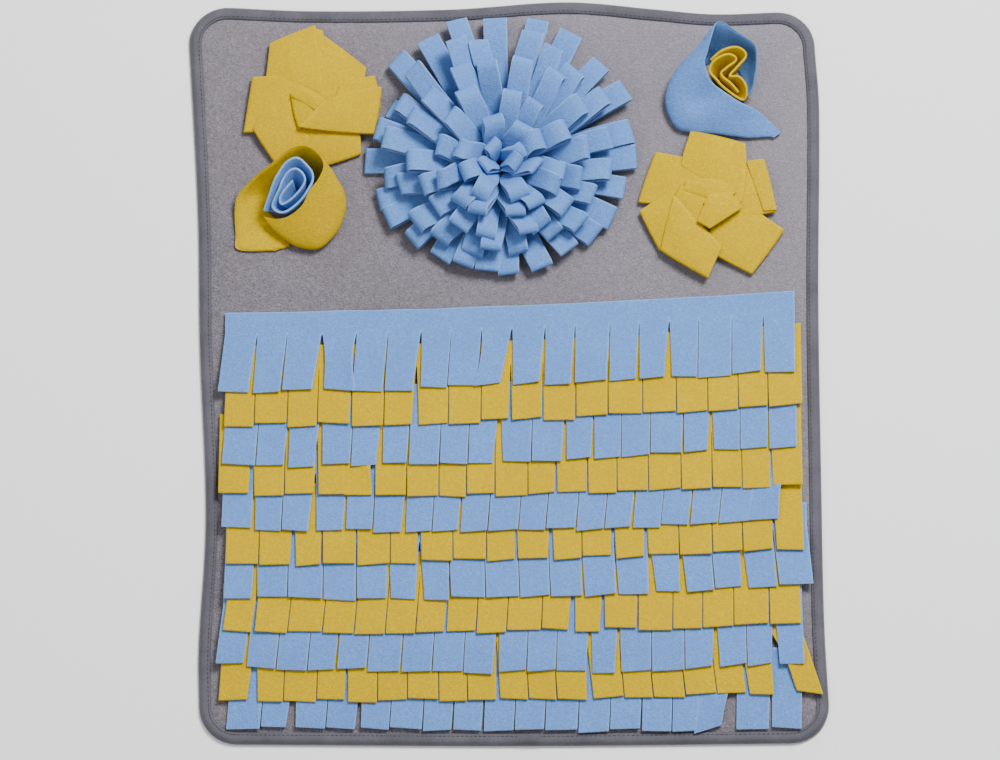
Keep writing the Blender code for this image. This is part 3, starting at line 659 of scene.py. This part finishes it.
# Each layer, lowest first: its corners (x, y, z) from the rosette's middle, at the inner end's right,
# the outer end's right, the outer end's left and the inner end's left, seen outwards; bow of the
# right side, the outer edge and the left side; crown; gap between its two layers.
ROSETTES = (
    ("rosette_left", -155.0, 215.0, (
        ((30, -30, 7.5), (32, 26, 7.5), (-34, 28, 7.5), (-36, -30, 7.5), 0, 0, 0, 0.2, 0.4),
        ((36, -4, 11.2), (43, 30, 9.0), (4, 60, 9.2), (-8, 2, 12.4), 0, 0.6, 0, 1.2, 1.2),
        ((15, -6, 13.4), (8.5, 60, 10.6), (-1, 63, 10.4), (-4, 0, 13.2), 0, 0, 0, 0.4, 0.5),
        ((11, -4, 14.4), (2.5, 64.5, 11.6), (-34, 50, 9.6), (-38, 12, 10.2), -0.6, 0.5, 0, 1.4, 1.0),
        ((-2, 20, 13.8), (-47, 23, 10.6), (-54, -22, 9.0), (-2, -20, 12.8), 1.5, 0, 0, 1.2, 1.4),
        ((-14, -8, 12.5), (-12, -54, 8.4), (39, -39, 9.2), (38, -14, 10.8), 0, 1.5, 0, 1.2, 1.6),
        ((-7, 16, 15.6), (-47, -19, 11.4), (-28, -48, 9.2), (-2, -30, 11.6), 6, 0.5, 0, 1.6, 1.0),
        ((-3, 12, 18.4), (-16.5, 8, 17.8), (-10, -21, 17.4), (5, -12, 18.4), 0, 1.2, 0, 0.9, 1.0),
        ((3, -7, 20.2), (13, -1, 20.2), (-10, 13.5, 20), (-17, 5, 19.4), 0, 1.6, 0, 0.8, 1.0),
        ((12, -8, 13.6), (54, -3, 12.2), (49, 23.5, 12.2), (22, 15, 13.8), 0, 0.8, 1, 0.5, 0.8),
        ((-12, -20, 19.6), (50, -24, 13.4), (55, 14, 14.2), (8, -1, 21.6), 1.2, 0, 3, 1.4, 1.8),
    )),
    ("rosette_right", 165.0, 135.0, (
        ((30, -32, 7.5), (32, 26, 7.5), (-26, 30, 7.5), (-34, -28, 7.5), 0, 0, 0, 0.2, 0.4),
        ((-16, -34, 10.6), (28, -57, 8.8), (54, -21, 9.2), (18, 4, 11.6), 0, 0.6, 0, 1.2, 1.6),
        ((-6, -18, 12.2), (47, -7, 10.2), (37, 36, 9.4), (-8, 30, 11), 0, 0.6, 0, 1.2, 1.6),
        ((38, -7, 12.6), (48, -6, 11.8), (38, 36, 11.2), (24, 34, 12), 0, 0.4, 0, 0.6, 1.0),
        ((4, 30, 12.6), (-47, 42, 9.6), (-61, 1, 9.2), (-14, -6, 12), 0.5, 0.6, -0.5, 1.4, 1.6),
        ((-12, 22, 13.8), (-60, -6, 10.8), (-44, -38, 9.2), (-14, -14, 13), 1.0, 0.5, 0, 1.4, 1.2),
        ((20, -2, 14.2), (24, 47.5, 12.6), (-20, 58, 12.4), (-28, 30, 12.6), 2.5, 0.8, 0.6, 1.5, 1.0),
        ((-2, 0, 16.4), (-27, 14, 15.8), (-33, 2, 15.0), (-12, -20, 15.6), 0, 0.6, 0, 0.8, 0.8),
        ((4, -2, 17.6), (16, 7, 17.2), (-23, 17, 17), (-26, 9, 16.6), 0, 8, 0, 1.2, 1.0),
        ((10, -13, 19.4), (20, -6, 18.8), (-5, 6, 19.4), (-10, -2, 19.4), 0, 7, 0, 0.8, 1.0),
        ((-33, 6, 16.4), (-44, -38, 13.2), (-6, -61, 13.0), (5, -36, 15), 0.4, 0.8, 0, 1.6, 1.8),
        ((-5, -23, 20.4), (15.5, -9, 20.4), (-5, 5, 21.2), (-15, -17, 20.6), 0, 0.8, 0, 0.9, 1.0),
    )),
)
for name, middle_x, middle_y, layers in ROSETTES:
    bm = bmesh.new()
    for numbers in layers:
        petal(bm, middle_x, middle_y, numbers)
    mark_cut_edges(bm)
    flower = piece(name.replace("rosette", "folded_rosette"), bm, YELLOW, name)
    thicken(flower, PETAL_LAYER, 0, even=False)
    smooth(flower)

# ------------------------------------------------------------------ the buds
# Each is a fleece square wrapped round to a leaning cup, sewn down by its foot, with its last corner
# left lying on the plush, and a strip of the other colour rolled up and stood inside it.
WRAP_THICKNESS = 1.9
WRAP_CELLS = (64, 14)
# The wrap's columns from its free edge round to its other end: rim x, y, z, then side x, y, z
LEFT_WRAP = (
    (-192.6, 122.8, 15, -183.0, 111.5, 11), (-176.8, 120.3, 21, -168.0, 101.0, 11),
    (-163.3, 127.9, 28, -149.9, 100.5, 13), (-156.6, 139.5, 34, -135.2, 115.5, 15),
    (-149.5, 149.0, 38, -128.7, 136.9, 17), (-145.5, 158.5, 40, -136.0, 152.0, 20),
    (-149.1, 167.0, 42, -146.0, 161.0, 21), (-160.2, 174.1, 43, -160.0, 164.5, 20),
    (-173.6, 171.4, 40, -173.0, 159.5, 18), (-184.7, 162.6, 36, -185.0, 152.0, 16),
    (-198.2, 153.8, 27, -197.0, 145.0, 11), (-214.5, 138.6, 12, -192.0, 131.5, 6.5),
    (-215.5, 110.5, 5.8, -181.0, 120.0, 5.6), (-213.9, 97.7, 5.6, -175.0, 111.0, 5.6),
    (-186.0, 97.0, 5.6, -173.0, 101.0, 5.6),
)
RIGHT_WRAP = (
    (188.0, 219.5, 13, 184.5, 219.0, 8), (195.4, 227.4, 20, 191.0, 226.0, 12),
    (197.4, 241.9, 28, 194.0, 239.0, 16), (197.0, 256.8, 34, 194.0, 250.0, 18),
    (190.2, 262.4, 38, 187.0, 256.0, 20), (176.8, 270.0, 44, 174.0, 259.5, 22),
    (166.0, 273.7, 46, 158.0, 262.0, 24), (161.5, 260.0, 43, 146.5, 252.0, 21),
    (158.5, 251.1, 39, 134.5, 241.7, 18), (156.5, 243.0, 35, 126.5, 221.2, 15),
    (162.0, 229.0, 29, 134.1, 200.0, 12), (178.9, 217.5, 24, 147.0, 194.0, 10),
    (192.0, 211.5, 18, 168.0, 192.5, 9), (202.1, 206.5, 13, 190.0, 189.8, 8),
    (217.1, 193.0, 7.4, 211.6, 189.0, 7.1),
)
FOOT_SHARE = 0.7
DIMPLE = (153.5, 218.0, 6.0)  # where the right bud is pushed in: x, y and depth
DIMPLE_SPREAD = 90
WRAP_LOWEST = LYING + 1.0
ROLL_LOWEST = LYING + 2.0
FLAT_BELOW = 7.4  # a side no higher than this lies on the panel
# The upper edge of each rolled strip, from its outer end inwards
LEFT_ROLL = (
    (-193.0, 126.0, 22), (-186.0, 145.0, 32), (-176.0, 161.5, 38), (-164.9, 165.0, 40), (-153.5, 151.0, 39),
    (-161.8, 134.5, 33), (-176.8, 124.0, 26), (-187.0, 129.0, 25), (-181.0, 142.0, 31), (-174.5, 154.0, 36),
    (-166.0, 157.0, 38), (-160.0, 148.0, 36), (-168.1, 136.5, 31), (-178.5, 130.5, 27), (-180.0, 136.0, 29),
    (-170.0, 148.5, 35),
)
RIGHT_ROLL = (
    (160.5, 246.5, 34), (170.0, 253.5, 37), (182.0, 256.5, 37), (189.5, 250.5, 35), (182.5, 241.0, 33),
    (176.0, 234.0, 31), (184.7, 233.0, 31), (190.5, 222.5, 26), (187.5, 216.5, 22), (177.5, 221.0, 25),
    (166.5, 230.0, 30), (160.0, 239.0, 33), (165.0, 247.0, 34), (176.0, 251.0, 35), (181.5, 246.5, 34),
    (173.0, 240.0, 32), (169.0, 235.5, 31), (177.0, 228.5, 29), (184.0, 221.5, 25),
)
# Wrap, its columns, its foot's middle, fleece and slot; then roll, its edge, its foot's middle,
# fleece, slot and flat length in metres
BUDS = (
    ("bud_left_wrap", LEFT_WRAP, (-160.0, 126.0), YELLOW, "yellow_fleece",
     "bud_left_roll", LEFT_ROLL, (-161.0, 129.0), BLUE, "blue_fleece", 0.165),
    ("bud_right_wrap", RIGHT_WRAP, (164.0, 222.0), BLUE, "blue_fleece",
     "bud_right_roll", RIGHT_ROLL, (169.0, 229.0), YELLOW, "yellow_fleece", 0.14),
)
ROLL_FOOT = 0.5  # the foot's width as a share of the upper edge's
ROLL_CELLS = (96, 8)


def through(points, u):
    """A point of the smooth curve through the points, u from 0 to 1."""
    place_on = min(u, 0.99999) * (len(points) - 1)
    k = int(place_on)
    t = place_on - k
    spots = [Vector(points[min(max(i, 0), len(points) - 1)]) for i in (k - 1, k, k + 1, k + 2)]
    return 0.5 * ((2 * spots[1]) + (spots[2] - spots[0]) * t
                  + (2 * spots[0] - 5 * spots[1] + 4 * spots[2] - spots[3]) * t * t
                  + (3 * spots[1] - spots[0] - 3 * spots[2] + spots[3]) * t**3)


def edge_close(share, edge=0.03):
    """Moves the first and last cells of a row close to its edges, so that they stay crisp."""
    return min(max((share - 0.5) * (1 + edge) / (1 - edge) + 0.5, 0.0), 1.0) if 0 < share < 1 else share


for (wrap_node, columns, foot, wrap_fleece, wrap_slot,
     roll_node, roll_edge, roll_foot, roll_fleece, roll_slot, roll_long) in BUDS:
    rims = [column[:3] for column in columns]
    sides, feet = [], []
    for rim_x, rim_y, rim_z, side_x, side_y, side_z in columns:
        if side_z < FLAT_BELOW:
            feet.append((side_x, side_y, side_z))
            sides.append(((side_x + rim_x) / 2, (side_y + rim_y) / 2, (side_z + rim_z) / 2))
        else:
            feet.append((foot[0] + (side_x - foot[0]) * FOOT_SHARE,
                         foot[1] + (side_y - foot[1]) * FOOT_SHARE, WRAP_LOWEST))
            sides.append((side_x, side_y, side_z))
    bm = bmesh.new()
    bmesh.ops.create_grid(bm, x_segments=WRAP_CELLS[0], y_segments=WRAP_CELLS[1], size=1)
    for v in bm.verts:
        u, w = edge_close((v.co.x + 1) / 2, 0.02), edge_close((v.co.y + 1) / 2, 0.08)
        rim, side, low = through(rims, u), through(sides, u), through(feet, u)
        bulge = 2 * side - (low + rim) / 2
        spot = (1 - w) ** 2 * low + 2 * w * (1 - w) * bulge + w * w * rim
        spot.x += 0.5 * wave(spot.y, spot.z, 12, 60)
        spot.y += 0.5 * wave(spot.x, spot.z, 12, 70)
        aside = (spot.x - DIMPLE[0]) ** 2 + (spot.y - DIMPLE[1]) ** 2
        spot.z -= DIMPLE[2] * math.exp(-aside / DIMPLE_SPREAD)
        v.co = (spot.x, spot.y, max(spot.z, WRAP_LOWEST))
    mark_cut_edges(bm)
    wrap = piece(wrap_node.replace("bud", "cupped"), bm, wrap_fleece, wrap_node)
    thicken(wrap, WRAP_THICKNESS, 0, even=False)
    smooth(wrap)

    bm = bmesh.new()
    bmesh.ops.create_grid(bm, x_segments=ROLL_CELLS[0], y_segments=ROLL_CELLS[1], size=1)
    for v in bm.verts:
        edge = through(roll_edge, (v.co.x + 1) / 2)
        up = edge_close((v.co.y + 1) / 2, 0.1)
        low = Vector((roll_foot[0], roll_foot[1], 0)).lerp(Vector((edge.x, edge.y, 0)), ROLL_FOOT)
        low.z = ROLL_LOWEST
        spot = low.lerp(edge, up)
        spot.x += 0.5 * up * wave(edge.x, edge.y, 9, 81)
        spot.z += 1.2 * up * wave(edge.x, edge.y, 11, 91)
        v.co = spot
    mark_cut_edges(bm)
    roll = piece(roll_node.replace("bud", "rolled"), bm, roll_fleece, roll_node)
    thicken(roll, WRAP_THICKNESS, 0, even=False)
    smooth(roll)

# ------------------------------------------------------------------ floor, lights and camera
# A plain pale floor, one large soft light over the far right, and a weaker one over the left.
bm = bmesh.new()
bmesh.ops.create_grid(bm, x_segments=1, y_segments=1, size=6)
mesh = bpy.data.meshes.new("floor")
bm.to_mesh(mesh)
bm.free()
floor = bpy.data.objects.new("floor", mesh)
bpy.context.scene.collection.objects.link(floor)
paper = bpy.data.materials.new("pale_floor")
paper.use_nodes = True
paper.node_tree.nodes["Principled BSDF"].inputs["Base Color"].default_value = linear("fafafa")
paper.node_tree.nodes["Principled BSDF"].inputs["Roughness"].default_value = 0.9
mesh.materials.append(paper)


def soft_light(name, x, y, z, size, power):
    """A square area light that faces the middle of the mat."""
    data = bpy.data.lights.new(name, "AREA")
    data.shape = "SQUARE"
    data.size = size
    data.energy = power
    light = bpy.data.objects.new(name, data)
    light.location = (x, y, z)
    light.rotation_euler = Vector((-x, -y, -z)).to_track_quat("-Z", "Y").to_euler()
    bpy.context.scene.collection.objects.link(light)


soft_light("key", 0.9, 1.3, 2.3, 0.9, 126)
soft_light("fill", -1.4, -0.4, 2.2, 2.0, 18)
world = bpy.data.worlds.new("studio")
world.use_nodes = True
world.node_tree.nodes["Background"].inputs["Color"].default_value = (1, 1, 1, 1)
world.node_tree.nodes["Background"].inputs["Strength"].default_value = 0.46
bpy.context.scene.world = world

CAMERA_DISTANCE = 10.0
CAMERA_ELEVATION = math.radians(78)
FRAME_WIDTH = 0.791  # of the floor, across the picture
AIM = Vector((-0.0059, -0.0061, 0.0))
lens = bpy.data.cameras.new("camera")
lens.sensor_width = 36
lens.lens = 36 * CAMERA_DISTANCE / FRAME_WIDTH
lens.clip_end = 40
camera = bpy.data.objects.new("camera", lens)
camera.location = AIM + CAMERA_DISTANCE * Vector((0, -math.cos(CAMERA_ELEVATION), math.sin(CAMERA_ELEVATION)))
camera.rotation_euler = (math.pi / 2 - CAMERA_ELEVATION, 0, 0)
bpy.context.scene.collection.objects.link(camera)
bpy.context.scene.camera = camera
